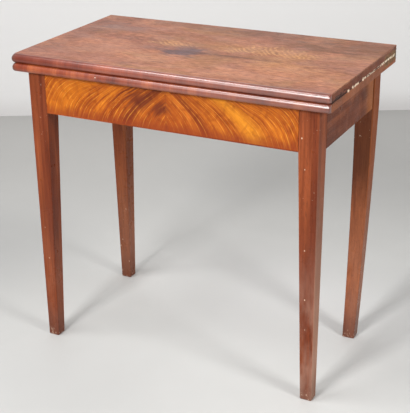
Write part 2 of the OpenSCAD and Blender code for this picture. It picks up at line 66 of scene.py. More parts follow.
# %% finish helper
class Finish:
    """A material, with a short word for each kind of node that the finishes use."""

    def __init__(self, name):
        self.material = bpy.data.materials.new(name)
        self.material.use_nodes = True
        self.tree = self.material.node_tree
        self.tree.nodes.clear()
        self.shader = self.node("ShaderNodeBsdfPrincipled")
        self.output = self.node("ShaderNodeOutputMaterial")
        self.feed(self.output.inputs["Surface"], self.shader.outputs["BSDF"])
        self.place = self.node("ShaderNodeTexCoord").outputs["Object"]

    def node(self, kind, inputs=None, **settings):
        """A new node with its settings, and with inputs given by name or number."""
        made = self.tree.nodes.new(kind)
        for name, value in settings.items():
            setattr(made, name, value)
        for name, value in (inputs or {}).items():
            self.feed(made.inputs[name], value)
        return made

    def feed(self, socket, value):
        """Links another node's output to a socket, or sets a constant on it."""
        if isinstance(value, bpy.types.NodeSocket):
            self.tree.links.new(value, socket)
        else:
            socket.default_value = value

    def constant(self, socket_name, value):
        """A number that is the same all over the surface, set on the shader's own socket."""
        self.shader.inputs[socket_name].default_value = value

    def surface(self, colour, rough):
        self.feed(self.shader.inputs["Base Color"], colour)
        self.feed(self.shader.inputs["Roughness"], rough)

    def stretch(self, scale, shift=(0, 0, 0), at=None):
        """Coordinates on which noise has about scale hills to the metre on each axis."""
        mapping = self.node("ShaderNodeMapping", {
            "Vector": at or self.place, "Location": shift, "Scale": scale})
        return mapping.outputs["Vector"]

    def noise(self, at, detail=2.0, rough=0.5, bend=0.0):
        """Noise about 0.5. Detail and rough make it finer and harsher, and bend curls it."""
        return self.node("ShaderNodeTexNoise", {
            "Vector": at, "Scale": 1.0, "Detail": detail, "Roughness": rough, "Distortion": bend,
        }).outputs["Fac"]

    def reckon(self, operation, a, b=0.0, c=0.0):
        return self.node("ShaderNodeMath", {0: a, 1: b, 2: c}, operation=operation).outputs[0]

    def plus(self, a, b):
        return self.reckon("ADD", a, b)

    def minus(self, a, b):
        return self.reckon("SUBTRACT", a, b)

    def times(self, a, b):
        return self.reckon("MULTIPLY", a, b)

    def times_plus(self, a, b, c):
        return self.reckon("MULTIPLY_ADD", a, b, c)

    def most(self, a, b):
        """The greater of two amounts, so that two marks meet without adding up."""
        return self.reckon("MAXIMUM", a, b)

    def apart(self, a, b):
        """How far two values are from each other."""
        return self.reckon("ABSOLUTE", self.minus(a, b))

    def blend(self, a, share_a, b, share_b):
        return self.plus(self.times(a, share_a), self.times(b, share_b))

    def either_side(self, noise, reach):
        """Noise moved to lie on both sides of 0, which makes an edge ragged."""
        return self.times(self.minus(noise, 0.5), reach)

    def span(self, value, low, high, to_low=0.0, to_high=1.0):
        """A smooth step from to_low, where the value is low or less, to to_high, where it is high."""
        return self.node("ShaderNodeMapRange", {
            "Value": value, "From Min": low, "From Max": high, "To Min": to_low, "To Max": to_high,
        }, interpolation_type="SMOOTHSTEP").outputs["Result"]

    def ramp(self, value, stops):
        """A colour for each value, from stops of a position and a colour."""
        made = self.node("ShaderNodeValToRGB", {"Fac": value})
        band = made.color_ramp
        while len(band.elements) < len(stops):
            band.elements.new(0.5)
        for element, (at, colour) in zip(band.elements, stops):
            element.position = at
            element.color = (*colour, 1)
        return made.outputs["Color"]

    def mix(self, amount, under, over, how="MIX"):
        made = self.node("ShaderNodeMix", data_type="RGBA", blend_type=how)
        self.feed(made.inputs[0], amount)
        for socket, value in ((made.inputs[6], under), (made.inputs[7], over)):
            self.feed(socket, (*value, 1) if isinstance(value, tuple) else value)
        return made.outputs[2]

    def tinted(self, under, value, stops):
        """A colour made darker or lighter by a ramp of factors."""
        return self.mix(1, under, self.ramp(value, stops), "MULTIPLY")

    def axes(self):
        made = self.node("ShaderNodeSeparateXYZ", {"Vector": self.place})
        return made.outputs["X"], made.outputs["Y"], made.outputs["Z"]

    def join(self, x, y, z):
        return self.node("ShaderNodeCombineXYZ", {"X": x, "Y": y, "Z": z}).outputs["Vector"]

    def near(self, centre, size, soft=1.0, wobble=None):
        """1 at a place on the table and 0 further off than size, its half width on each axis."""
        scale = tuple(1 / s for s in size)
        shift = tuple(-c / s for c, s in zip(centre, size))
        at = self.stretch(scale, shift)
        far = self.node("ShaderNodeVectorMath", {0: at}, operation="LENGTH").outputs["Value"]
        if wobble is not None:
            far = self.plus(far, wobble)
        return self.span(far, 1 - soft, 1, 1, 0)

    def bump(self, height, depth):
        made = self.node("ShaderNodeBump", {"Height": height, "Distance": depth})
        self.feed(self.shader.inputs["Normal"], made.outputs["Normal"])

    def relief(self, streak, share, open_pores, depth):
        """Bump of a board: raised streaks, with the pores sunk between them."""
        self.bump(self.minus(self.times(streak, share), open_pores), depth)


def put_on(finish, *nodes):
    """Gives a finish to CAD nodes, whose meshes stay as they are."""
    for name in nodes:
        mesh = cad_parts[name].data
        mesh.materials.clear()
        mesh.materials.append(finish.material)
    print(finish.material.name, "on", ", ".join(nodes))


# %% [markdown]
# ## Old mahogany
# Legs, rails and leaves are solid mahogany under old shellac. The wood shows four things at once:
# a slow drift of tone along the board, ribbons where the grain lies the other way, fine streaks, and
# short dark pores. A picture of wood could be wrapped round each board, but it would show its seams
# and repeat itself. Here each of the four is the same noise, stretched along the grain by a different
# amount, and a shift makes no two boards alike. Noise seldom leaves the middle of its range, so the
# dark and the light tone are set at 0.36 and 0.64.

# %% mahogany
TONE_STOPS = (0.36, 0.5, 0.64)
STREAK_FACTORS = [(0.32, (0.74, 0.68, 0.64)), (0.64, (1.14, 1.15, 1.17))]
PORE_BROWN = (0.035, 0.008, 0.004)


def along(axis, length_scale, across_scale):
    """Scale of a pattern that runs along one axis."""
    scale = [across_scale] * 3
    scale["xyz".index(axis)] = length_scale
    return tuple(scale)


def toned(f, tone, tones):
    """The dark, middle and light colour of a wood, over the range of its noise."""
    return f.ramp(tone, list(zip(TONE_STOPS, tones)))


def grain(f, axis, shift, tones):
    """The colour of a board, and the streaks and pores that its bump needs."""
    drift = f.noise(f.stretch(along(axis, 1.6, 9), shift), 3, 0.5, 0.4)
    ribbon = f.noise(f.stretch(along(axis, 2.4, 42), shift), 2, 0.5, 0.3)
    streak = f.noise(f.stretch(along(axis, 6, 230), shift), 3, 0.6)
    pores = f.noise(f.stretch(along(axis, 70, 1300), shift), 1, 0.5)
    wood = toned(f, f.blend(drift, 0.6, ribbon, 0.4), tones)
    wood = f.tinted(wood, streak, STREAK_FACTORS)
    open_pores = f.span(pores, 0.60, 0.72)
    wood = f.mix(f.times(open_pores, 0.5), wood, PORE_BROWN)
    return wood, streak, open_pores


def shellac(f, wood, streak, open_pores, rough, shine=0.15, duller=0.0):
    """Closes a board's finish: the old varnish is rubbed unevenly, and pores print through it."""
    rub = f.noise(f.stretch((22, 22, 22)), 3, 0.6)
    f.surface(wood, f.plus(f.span(rub, 0.3, 0.7, rough - 0.06, rough + 0.12), duller))
    f.constant("Specular IOR Level", shine)
    f.relief(streak, 0.3, open_pores, 0.0001)
    return f


print("three tones of a wood are set at", TONE_STOPS)

# %% [markdown]
# The legs have more to tell than the rails. There are small pale flecks on every face where hands and
# shoes reach, more of them at the feet, and the plainest nicks have a place of their own. They could
# be cut into the mesh, or painted by hand on an unwrapped leg. Fine noise above a high threshold
# scatters the flecks with less work, and each plain nick is a small patch with a ragged edge.

# %% marks on the legs
FRONT_Y, LEG_OUTER_X = -0.203, 0.371
NICK_SIZE = (0.0019, 0.03, 0.0026)


def leg_chips(f, z, shift, nicks):
    """Flecks where hands and shoes reach, more of them near the floor, and each nick in its place."""
    grit = f.noise(f.stretch((210, 210, 150), shift), 2, 0.6)
    handled = f.noise(f.stretch((9, 9, 6), shift), 2, 0.5)
    flecks = f.times(f.span(grit, 0.71, 0.75), f.span(handled, 0.54, 0.66, 0, 0.7))
    kicked = f.times(f.span(grit, 0.58, 0.68), f.span(z, 0.006, 0.032, 0.5, 0.0))
    chips = f.most(flecks, kicked)
    ragged = f.either_side(grit, 1.5)
    for *place, strength in nicks:
        chips = f.most(chips, f.times(f.near(place, NICK_SIZE, 0.8, ragged), strength))
    return chips


print("outer faces of the legs at", LEG_OUTER_X, "m")

# %% [markdown]
# Mops and shoes have worn the lower halves of the legs paler and pinker, painted light bounced up from
# the floor pales them further, and dirt lies round the feet. The front right leg has a painted pale
# reflection on its outer face, and the upper parts of the rear legs have painted shade. Each leg could
# have a material written for it alone. But wear, painted light, dirt and painted shade follow the height
# and the face on all of them, so one function makes the four, and each leg gives its own amounts.

# %% legs
LEG_TONES = ((0.145, 0.029, 0.010), (0.275, 0.066, 0.021), (0.395, 0.116, 0.040))
# pale wear with painted bounce light from the floor, a painted reflection for an outer face, and bare
# wood in chips
WEAR_AND_BOUNCE_WOOD, PAINTED_REFLECTION_WOOD, BARE_CHIP = (0.375, 0.200, 0.142), (0.50, 0.29, 0.20), (0.72, 0.52, 0.38)
# the first colour is painted shade on the rear legs, the second is dirt at the feet
PAINTED_SHADE_WOOD, FOOT_DIRT = (0.060, 0.019, 0.010), (0.085, 0.028, 0.018)
LEGS = {  # each nick is a place and how plain it is
    "front_left_leg": {"shift": (0.3, 0.1, 0.0), "wear_and_bounce": 0.12, "nicks": [
        (-0.358, FRONT_Y, 0.31, 0.35), (-0.352, FRONT_Y, 0.226, 0.45)]},
    # the front right leg has a painted pale reflection on its outer face
    "front_right_leg": {"shift": (2.1, 1.4, 0.6), "wear_and_bounce": 0.95, "painted_reflection": 0.55, "nicks": [
        (0.345, FRONT_Y, 0.3875, 1), (0.348, FRONT_Y, 0.265, 1), (0.350, FRONT_Y, 0.188, 0.4),
        (0.3325, FRONT_Y, 0.651, 1), (0.341, FRONT_Y, 0.58, 1)]},
    "rear_left_leg": {"shift": (4.7, 3.2, 1.9), "wear_and_bounce": 0.35, "painted_shade": 0.14, "nicks": [
        (-0.36, 0.16, 0.1215, 1), (-0.3675, 0.16, 0.101, 1), (-0.343, 0.16, 0.054, 1)]},
    "swing_leg": {"shift": (6.2, 5.9, 3.3), "wear_and_bounce": 0.4, "painted_shade": 0.66, "nicks": [
        (0.36, 0.10, 0.257, 1), (0.365, 0.10, 0.230, 1), (0.362, 0.105, 0.424, 1)]},
}


def leg_wood(name, shift, wear_and_bounce, nicks, painted_shade=0.0, painted_reflection=0.0):
    f = Finish(name)
    wood, streak, open_pores = grain(f, "z", shift, LEG_TONES)
    x, _, z = f.axes()
    # paler and pinker towards the bottom: wear, and painted light bounced up from the floor
    rubbed = f.noise(f.stretch((16, 16, 5), shift), 4, 0.6)
    wear_and_bounce_mask = f.times(f.span(z, 0.05, 0.46, wear_and_bounce, 0.0), f.span(rubbed, 0.33, 0.60))
    wood = f.mix(wear_and_bounce_mask, wood, WEAR_AND_BOUNCE_WOOD)
    # painted shade: the upper parts of the rear legs darker, less so on the outer face
    if painted_shade:
        less_outside = f.span(x, LEG_OUTER_X - 0.0055, LEG_OUTER_X - 0.0030, 1.0, 0.6)
        painted_shade_mask = f.times(f.span(z, 0.12, 0.50, 0.22, painted_shade), less_outside)
        wood = f.mix(painted_shade_mask, wood, PAINTED_SHADE_WOOD)
    # painted reflection: the outer face paler, most towards the bottom
    if painted_reflection:
        outer_face = f.span(x, LEG_OUTER_X - 0.0013, LEG_OUTER_X - 0.0005)
        painted_reflection_mask = f.times(outer_face, f.span(z, 0.10, 0.75, painted_reflection, 0.05))
        wood = f.mix(painted_reflection_mask, wood, PAINTED_REFLECTION_WOOD)
    wood = f.mix(f.span(z, 0.0, 0.11, 0.5, 0.0), wood, FOOT_DIRT)
    wood = f.mix(leg_chips(f, z, shift, nicks), wood, BARE_CHIP)
    duller_outside = f.span(x, LEG_OUTER_X - 0.0055, LEG_OUTER_X - 0.0015, 0.0, 0.3)
    return shellac(f, wood, streak, open_pores, 0.30, duller=duller_outside)


for leg, traits in LEGS.items():
    put_on(leg_wood(leg + "_wood", **traits), leg)

# %% [markdown]
# The side rails are darker and more figured than the legs, with cloudy cross figure and a lighter,
# orange stretch at the rear end, where less light has reached them under the leaf. A second noise,
# squeezed along the rail, is laid over the grain for the clouds, because the grain's own noise only
# makes stripes. The strip under the front veneer is redder, with no marks of its own.

# %% side rails and edge strip
RAIL_TONES = ((0.070, 0.018, 0.010), (0.155, 0.044, 0.021), (0.270, 0.084, 0.034))
STRIP_TONES = ((0.17, 0.028, 0.008), (0.34, 0.068, 0.014), (0.48, 0.12, 0.022))
CLOUD_BROWN, REAR_ORANGE = (0.28, 0.095, 0.042), (0.42, 0.135, 0.032)


def side_rail_wood(name, shift):
    f = Finish(name)
    wood, streak, open_pores = grain(f, "y", shift, RAIL_TONES)
    _, y, _ = f.axes()
    cloud = f.noise(f.stretch((10, 34, 18), shift), 3, 0.6, 0.8)
    wood = f.mix(f.span(cloud, 0.52, 0.68, 0, 0.45), wood, CLOUD_BROWN)
    wood = f.mix(f.span(y, 0.085, 0.135, 0, 0.6), wood, REAR_ORANGE)
    return shellac(f, wood, streak, open_pores, 0.33, 0.07)


put_on(side_rail_wood("left_side_rail_wood", (1.2, 7.1, 2.4)), "left_side_rail")
put_on(side_rail_wood("right_side_rail_wood", (5.5, 2.2, 7.7)), "right_side_rail")
strip = Finish("front_edge_strip_wood")
put_on(shellac(strip, *grain(strip, "x", (3.8, 8.4, 5.1), STRIP_TONES), 0.30), "front_edge_strip")

# %% [markdown]
# The edges of both leaves have been knocked for many years. Splinters have come off along the seam at
# their ends, and the wood under the varnish shows there as a row of cream dots and dashes. Towards the
# front corner a longer ragged black patch lies in the seam: painted shade in the groove between the
# leaves, with dirt. Chips a few millimetres deep could be cut into the mesh, but the CAD solids stay as
# they are, and colour is enough at this size. The seam is a place on the table, so the row needs only
# its height, the end of the leaf and some noise along Y.

# %% chips along the seam
SEAM_Z, TOP_Z, LEAF_END_X = 0.7388, 0.76, 0.4
SEAM_CHIPS = [  # place along the seam, half length and half height
    (-0.110, 0.0075, 0.0045), (-0.083, 0.006, 0.0040), (-0.066, 0.009, 0.0045),
    (-0.049, 0.007, 0.0040), (-0.015, 0.008, 0.0045), (-0.001, 0.006, 0.0030),
]
END_DEPTH = 0.02


def corner_groove_shade(f, shift):
    """A longer ragged patch at the front of the seam, painted shade with dirt, and fibres in it."""
    ragged = f.either_side(f.noise(f.stretch((60, 90, 260), shift), 2, 0.5), 3)
    groove_shade = f.near((LEAF_END_X, -0.170, SEAM_Z + 0.0015), (END_DEPTH, 0.062, 0.0085), 0.35, ragged)
    fibres = f.noise(f.stretch((50, 55, 560), shift), 2, 0.5)
    return f.times(groove_shade, f.span(fibres, 0.44, 0.54, 0.25, 0.95))


def seam_chips(f, y, end, off_seam, broken):
    """Dashes near the hinge, fainter ones further forward, and the plainest chips in their places."""
    dashes = f.times(f.span(y, 0.080, 0.088), f.span(broken, 0.46, 0.50))
    faint = f.times(f.span(y, 0.0, 0.02), f.span(y, 0.066, 0.08, 0.6, 0))
    faint = f.times(faint, f.span(broken, 0.47, 0.53))
    row = f.times(f.span(off_seam, 0.0022, 0.0038, 1, 0), end)
    chips = f.times(row, f.most(faint, dashes))
    ragged = f.either_side(broken, 2.5)
    for chip_y, half_y, half_z in SEAM_CHIPS:
        chip = f.near((LEAF_END_X, chip_y, SEAM_Z), (END_DEPTH, half_y, half_z), 0.5, ragged)
        chips = f.most(chips, chip)
    return chips


print("chips with a place of their own on the seam:", len(SEAM_CHIPS))

# %% [markdown]
# The leaves are the same mahogany as the legs, with the grain along the table. Their right ends have a
# tone of their own, a dark line of painted shade and dirt in the seam, and a painted pale highlight along
# the upper arris. A second material on the end faces would mean picking faces out of the CAD mesh. A
# step in X just before the end does the same and leaves the mesh alone.

# %% leaves
LEAF_TONES = ((0.150, 0.036, 0.014), (0.275, 0.078, 0.028), (0.390, 0.125, 0.048))
LEAF_ENDS = {"lower_leaf": ((0.28, 0.105, 0.050), 0.5), "upper_leaf": ((0.120, 0.038, 0.024), 0.6)}
# painted shade and dirt in the seam, cream chips, and a painted highlight on the arris
SEAM_SHADE_AND_DIRT, CREAM_CHIP, PAINTED_ARRIS_HIGHLIGHT = (0.026, 0.009, 0.006), (0.88, 0.70, 0.52), (0.50, 0.30, 0.20)


def leaf_wood(leaf, shift):
    f = Finish(leaf + "_wood")
    wood, streak, open_pores = grain(f, "x", shift, LEAF_TONES)
    x, y, z = f.axes()
    end = f.span(x, LEAF_END_X - 0.0022, LEAF_END_X - 0.0012)
    end_tone, amount = LEAF_ENDS[leaf]
    wood = f.mix(f.times(end, f.span(y, 0.06, 0.20, amount, 0.3)), wood, end_tone)
    off_seam = f.apart(z, SEAM_Z)
    # painted shade and dirt: a dark line in the groove of the seam, and a longer patch towards the front
    line = f.times(f.span(off_seam, 0.0008, 0.0022, 0.85, 0), end)
    wood = f.mix(f.most(line, corner_groove_shade(f, shift)), wood, SEAM_SHADE_AND_DIRT)
    broken = f.noise(f.stretch((60, 130, 210), shift), 3, 0.6)
    # painted highlight: a pale broken line along the upper arris of the end
    arris_highlight = f.times(f.span(z, TOP_Z - 0.0045, TOP_Z - 0.0025), f.span(broken, 0.40, 0.55, 0, 0.35))
    wood = f.mix(f.times(arris_highlight, end), wood, PAINTED_ARRIS_HIGHLIGHT)
    wood = f.mix(seam_chips(f, y, end, off_seam, broken), wood, CREAM_CHIP)
    return shellac(f, wood, streak, open_pores, 0.36, 0.10)


put_on(leaf_wood("lower_leaf", (8.8, 1.5, 4.4)), "lower_leaf")
put_on(leaf_wood("upper_leaf", (9.6, 6.3, 1.1)), "upper_leaf")

# %% [markdown]
# ## The faded top
# The outer face of the upper leaf has a sheet of figured veneer, bleached by years of light to a dull
# brown pink with olive and mauve places. Its grain runs the long way and streams round a dark knot
# near the middle. A wave texture would give stripes, but too even ones for faded wood. So the ground
# is noise stretched along the grain, on coordinates that are first bent round the knot.

# %% ground of the top
KNOT = (-0.03, -0.04, TOP_Z)
FADED_STOPS = [
    (0.38, (0.245, 0.098, 0.062)), (0.46, (0.335, 0.138, 0.082)),
    (0.53, (0.405, 0.170, 0.100)), (0.62, (0.485, 0.212, 0.120)),
]
OLIVE, MAUVE, PINK = (0.360, 0.180, 0.080), (0.320, 0.138, 0.104), (0.42, 0.150, 0.115)


def bent_flow(f, x, y, z, sway):
    """Coordinates whose lines wander along the table and part at the knot."""
    lift = f.near(KNOT, (0.16, 0.12, 1), 1.0)
    bow = f.times(f.times(lift, 0.35), f.plus(y, -KNOT[1]))
    return f.join(x, f.minus(f.times_plus(sway, 0.055, y), bow), z)


def faded_ground(f, flow):
    """Slow drifts and short ripples of tone, and tints of olive, mauve and pink over them."""
    drift = f.noise(f.stretch((5, 14, 1), (1.1, 2.2, 0), at=flow), 4, 0.6, 0.6)
    ripple = f.noise(f.stretch((44, 85, 1), (2.1, 0.2, 0), at=flow), 4, 0.7, 1.0)
    wood = f.ramp(f.blend(drift, 0.6, ripple, 0.4), FADED_STOPS)
    tint = f.noise(f.stretch((4.5, 9, 1), (6.3, 2.7, 0), at=flow), 3, 0.6)
    wood = f.mix(f.span(tint, 0.50, 0.66, 0, 0.55), wood, OLIVE)
    wood = f.mix(f.span(tint, 0.36, 0.50, 0.45, 0), wood, MAUVE)
    return f.mix(f.span(ripple, 0.52, 0.66, 0, 0.3), wood, PINK)


print("knot at", KNOT)

# %% [markdown]
# To the right of the knot lies a feather: the wood was cut from a fork in the tree, so pale strokes
# slant into a dark spine from both sides. Each stroke could be a mark with a place of its own, but
# there are dozens. A sine along a slanting direction makes them all, and using the distance from the
# spine, an absolute value, mirrors them at it.

# %% feather
FEATHER_LEAN, STROKE_PITCH, SPINE_Y = 0.88, 0.0130, -0.045


def feather_strokes(f, x, y, sway, wobble):
    """Where the feather lies, its strokes as a wave from 0 to 1, and how plainly they are seen."""
    spine = f.times_plus(sway, 0.03, SPINE_Y)
    off_spine = f.apart(y, spine)
    bend = f.minus(1.25, f.times(off_spine, 4))
    lean = f.times_plus(x, FEATHER_LEAN, f.times(off_spine, bend))
    ruffle = f.noise(f.stretch((26, 40, 1), (7, 3, 0)), 3, 0.6)
    phase = f.times_plus(lean, 2 * math.pi / STROKE_PITCH, f.times(ruffle, 17))
    stroke = f.times_plus(f.reckon("SINE", phase), 0.5, 0.5)
    back = f.near((0.145, 0.040, TOP_Z), (0.145, 0.062, 1), 0.85, wobble)
    front = f.near((0.235, -0.060, TOP_Z), (0.150, 0.050, 1), 0.9, wobble)
    left = f.near((-0.105, 0.018, TOP_Z), (0.080, 0.040, 1), 0.9, wobble)
    feather = f.most(back, f.most(f.times(front, 0.5), f.times(left, 0.8)))
    seen = f.times(feather, f.span(ruffle, 0.34, 0.56, 0.35, 1))
    return feather, stroke, seen


print("a stroke of the feather every", STROKE_PITCH, "m")

# %% [markdown]
# The knot, the stains and the paler places lie where they are on the real top, and painted shade darkens
# the back edge and the back right. Each is one soft patch with a centre and a half width, and a shared
# wobble makes their edges ragged. They go between the ground and the strokes, and the fine streaks and
# pores go over everything, as in the wood.

# %% faded veneer
PATCHES = [  # centre, half width, colour, how much
    ((-0.305, 0.115), (0.120, 0.070), (0.250, 0.150, 0.130), 0.65),
    # painted shade at the back right, this patch and the next
    ((0.245, 0.125), (0.160, 0.070), (0.215, 0.105, 0.060), 0.75),
    ((0.350, 0.160), (0.140, 0.130), (0.200, 0.080, 0.045), 0.75),
    ((-0.36, 0.020), (0.060, 0.200), (0.225, 0.105, 0.078), 0.55),
    ((-0.27, -0.11), (0.110, 0.060), (0.290, 0.128, 0.082), 0.60),
    # painted shade along the back edge
    ((0.02, 0.190), (0.40, 0.050), (0.225, 0.110, 0.076), 0.70),
    ((0.26, -0.09), (0.20, 0.10), (0.610, 0.270, 0.130), 0.40),
    ((-0.02, -0.13), (0.20, 0.07), (0.560, 0.245, 0.150), 0.35),
    ((-0.235, -0.03), (0.12, 0.05), (0.540, 0.235, 0.125), 0.35),
    ((-0.03, -0.036), (0.150, 0.036), (0.205, 0.104, 0.088), 0.75),
    ((-0.035, -0.036), (0.078, 0.062), (0.125, 0.082, 0.090), 0.90),
    ((0.09, -0.034), (0.18, 0.011), (0.180, 0.078, 0.052), 0.85),
    ((-0.052, -0.145), (0.040, 0.0032), (0.130, 0.052, 0.036), 0.95),
]
FEATHER_GOLD, PALE_STROKE, DARK_STROKE = (0.54, 0.270, 0.105), (0.72, 0.390, 0.175), (0.24, 0.100, 0.060)
TOP_STREAK_FACTORS = [(0.34, (0.62, 0.57, 0.56)), (0.64, (1.18, 1.18, 1.18))]
TOP_PORE_BROWN = (0.07, 0.025, 0.018)


def faded_veneer():
    f = Finish("faded_veneer")
    x, y, z = f.axes()
    sway = f.noise(f.stretch((3.2, 8, 1)), 2, 0.5)
    flow = bent_flow(f, x, y, z, sway)
    wood = faded_ground(f, flow)
    wobble = f.either_side(f.noise(f.stretch((20, 55, 1)), 3, 0.65), 2.0)
    feather, stroke, seen = feather_strokes(f, x, y, sway, wobble)
    wood = f.mix(f.times(feather, 0.50), wood, FEATHER_GOLD)
    for (cx, cy), (sx, sy), colour, amount in PATCHES:
        patch = f.near((cx, cy, TOP_Z), (sx, sy, 1), 0.9, wobble)
        wood = f.mix(f.times(patch, amount), wood, colour)
    wood = f.mix(f.times(seen, f.span(stroke, 0.45, 0.95, 0, 0.60)), wood, PALE_STROKE)
    wood = f.mix(f.times(seen, f.span(stroke, 0.05, 0.45, 0.35, 0)), wood, DARK_STROKE)
    streak = f.noise(f.stretch((55, 270, 1), (3.1, 1.2, 0), at=flow), 4, 0.7)
    wood = f.tinted(wood, streak, TOP_STREAK_FACTORS)
    pores = f.noise(f.stretch((75, 1300, 1), (0.2, 4, 0), at=flow), 1, 0.5)
    open_pores = f.span(pores, 0.60, 0.74)
    wood = f.mix(f.times(open_pores, 0.4), wood, TOP_PORE_BROWN)
    rub = f.noise(f.stretch((14, 26, 1)), 3, 0.6)
    f.surface(wood, f.span(rub, 0.3, 0.7, 0.40, 0.56))
    f.constant("Specular IOR Level", 0.16)
    f.relief(streak, 0.4, open_pores, 0.0001)
    return f


put_on(faded_veneer(), "upper_veneer")

# %% [markdown]
# ## The flame veneer
# The front rail is faced with two leaves of flame veneer, cut one after the other from the same block
# and opened like a book, so the stripes of one mirror those of the other and meet in a pointed arch.
# A second mesh with a mirrored UV map could do it. The absolute value of X does it on one sheet.
# Every stripe leaves the lower edge at some distance from the joint and leans in more and more as it
# rises. Undoing that lean gives each stripe one number, which is where it meets the lower edge, and
# noise along that number colours it.

# %% stripes of the flame
JOINT_X, RAIL_LOW_Z, RAIL_HIGH_Z = 0.002, 0.62, 0.7176


def flame_stripe(f, x, z):
    """How far a place is from the joint, and where its stripe meets the lower edge."""
    side = f.apart(x, JOINT_X)
    height = f.reckon("DIVIDE", f.minus(z, RAIL_LOW_Z), RAIL_HIGH_Z - RAIL_LOW_Z)
    lean = f.minus(f.span(side, 0.0, 0.10, 0.086, 0.104), f.span(side, 0.17, 0.33, 0, 0.055))
    curve = f.times(height, f.times_plus(height, 0.75, 0.25))
    slow = f.noise(f.join(f.times(x, 11), f.times(z, 7), 0.4), 2, 0.5)
    stripe = f.times_plus(lean, curve, side)
    return side, f.times_plus(f.minus(slow, 0.5), 0.015, stripe)


def stripe_noise(f, x, z, stripe, per_metre, drift, detail):
    """Noise that changes from stripe to stripe, and only slowly along each."""
    at = f.join(f.times(stripe, per_metre), f.times(x, drift), f.times(z, drift))
    return f.noise(at, detail, 0.55)


print("the flame rises", round(RAIL_HIGH_Z - RAIL_LOW_Z, 4), "m from the lower edge")

# %% [markdown]
# Over the plain stripes lie a few broad pale and dark ones, which differ between the two halves, thin
# bright lines, and a black cloud in the heart of the arch. Each broad one needs its distance from the
# joint, a half width and the side on which it shows, so they are rows of one list.

# %% figure of the flame
LINE_PITCH, LINE_GOLD, HEART_BLACK = 0.0135, (0.78, 0.310, 0.038), (0.115, 0.018, 0.006)
BROAD_STRIPES = [  # distance from the joint, half width, how much, colour, and the step along X
    (0.225, 0.042, 0.70, (0.68, 0.245, 0.012), (-0.01, 0.02, 0, 1)),
    (0.285, 0.055, 0.50, (0.60, 0.170, 0.006), (-0.22, -0.14, 1, 0)),
    (0.080, 0.016, 0.65, (0.60, 0.160, 0.014), (-0.05, 0.02, 0.35, 1)),
    (0.103, 0.018, 0.65, (0.17, 0.024, 0.004), (-0.02, 0.02, 0, 1)),
    (0.103, 0.030, 0.80, (0.14, 0.020, 0.004), (-0.02, 0.02, 1, 0)),
]


def broad_stripes(f, wood, x, stripe):
    for centre, half, amount, colour, where in BROAD_STRIPES:
        off = f.apart(stripe, centre)
        wood = f.mix(f.times(f.span(off, 0, half, amount, 0), f.span(x, *where)), wood, colour)
    return wood


def bright_lines(f, wood, x, z, stripe, broad):
    """Thin lines at an even pitch, moved about by the broad noise and seen only here and there."""
    phase = f.times_plus(stripe, 2 * math.pi / LINE_PITCH, f.times(broad, 8))
    line = f.span(f.reckon("SINE", phase), 0.80, 1.0)
    seen = f.noise(f.join(f.times(x, 26), f.times(z, 30), 2.2), 3, 0.6)
    return f.mix(f.times(line, f.span(seen, 0.38, 0.60, 0.1, 0.55)), wood, LINE_GOLD)


def dark_heart(f, wood, band):
    ragged = f.either_side(band, 2.2)
    cloud = f.near((-0.066, FRONT_Y, 0.684), (0.058, 1, 0.040), 1.0, ragged)
    heart = f.near((-0.014, FRONT_Y, 0.671), (0.034, 1, 0.026), 0.9, ragged)
    return f.mix(f.times(f.most(cloud, heart), 0.8), wood, HEART_BLACK)


print("broad stripes in the flame:", len(BROAD_STRIPES))

# %% [markdown]
# The tone of the flame is three noises along the stripe number, from broad to as fine as a hair, on a
# ramp from red brown to orange. The fibres of such wood lie at many slants, so it shimmers. An
# anisotropic shader could move the shimmer with the light, but it would need the direction of the
# fibres everywhere. A soft mottle that lightens and darkens the colour looks the same in one picture.

# %% flame veneer
FLAME_STOPS = [
    (0.37, (0.21, 0.030, 0.002)), (0.46, (0.34, 0.068, 0.004)),
    (0.54, (0.45, 0.106, 0.006)), (0.63, (0.60, 0.175, 0.010)),
]
SHIMMER_FACTORS = [(0.36, (0.80, 0.73, 0.68)), (0.5, (1, 1, 1)), (0.64, (1.10, 1.15, 1.15))]
MIDDLE_RED, LOW_RED = (0.30, 0.048, 0.004), (0.22, 0.030, 0.006)
JOINT_BROWN, FLAME_PORE_BROWN = (0.20, 0.04, 0.008), (0.16, 0.030, 0.005)


def flame_veneer():
    f = Finish("flame_veneer")
    x, _, z = f.axes()
    side, stripe = flame_stripe(f, x, z)
    broad = stripe_noise(f, x, z, stripe, 30, 4, 2)
    band = stripe_noise(f, x, z, stripe, 110, 10, 2)
    hair = stripe_noise(f, x, z, stripe, 400, 26, 3)
    pores = stripe_noise(f, x, z, stripe, 1500, 90, 1)
    wood = f.ramp(f.times_plus(hair, 0.37, f.blend(broad, 0.27, band, 0.36)), FLAME_STOPS)
    wood = f.mix(f.span(stripe, 0.10, 0.18, 0.6, 0), wood, MIDDLE_RED)
    wood = broad_stripes(f, wood, x, stripe)
    wood = bright_lines(f, wood, x, z, stripe, broad)
    wood = dark_heart(f, wood, band)
    mottle = f.noise(f.join(f.times(x, 46), f.times(z, 38), 7.1), 3, 0.6, 0.6)
    wood = f.tinted(wood, mottle, SHIMMER_FACTORS)
    wood = f.mix(f.span(z, RAIL_LOW_Z + 0.002, RAIL_LOW_Z + 0.030, 0.7, 0.0), wood, LOW_RED)
    rough_side = f.times_plus(f.minus(hair, 0.5), 0.003, side)
    wood = f.mix(f.span(rough_side, 0.0004, 0.0018, 0.4, 0), wood, JOINT_BROWN)
    open_pores = f.span(pores, 0.60, 0.74)
    wood = f.mix(f.times(open_pores, 0.35), wood, FLAME_PORE_BROWN)
    f.surface(wood, f.span(broad, 0.3, 0.7, 0.26, 0.38))
    f.constant("Specular IOR Level", 0.22)
    f.relief(hair, 0.3, open_pores, 0.00008)
    return f


put_on(flame_veneer(), "front_veneer")

